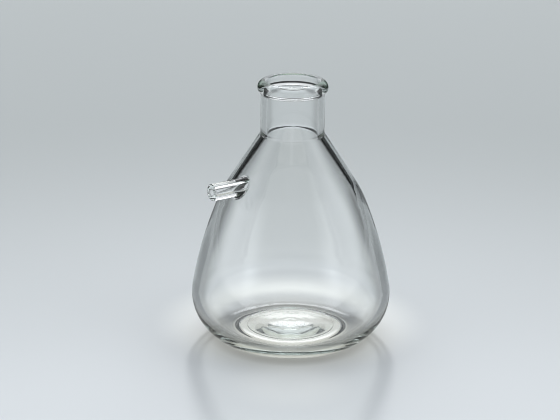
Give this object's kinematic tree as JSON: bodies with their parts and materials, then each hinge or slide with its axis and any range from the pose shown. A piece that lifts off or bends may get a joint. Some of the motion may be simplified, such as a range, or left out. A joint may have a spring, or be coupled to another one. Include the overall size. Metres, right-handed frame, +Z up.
{
  "type": "filter flask",
  "caption": "Thick-walled glass filter flask: conical body with a rounded heel and pushed-up base, a beaded neck and a short plain side tube for a vacuum hose.",
  "frame": {"origin": "middle of the base ring, on the bench", "axes": "+Z up along the axis of the neck, -X along the side tube towards its tip"},
  "size_m": [0.113, 0.113, 0.151],
  "materials": {
    "clear_glass": "clear colourless, fire polished, faint grey-green in the thick edges"
  },
  "bodies": {
    "root": {"blown_body": "clear_glass", "neck_tube": "clear_glass", "rim_bead": "clear_glass", "side_tube": "clear_glass"}
  },
  "joints": []
}
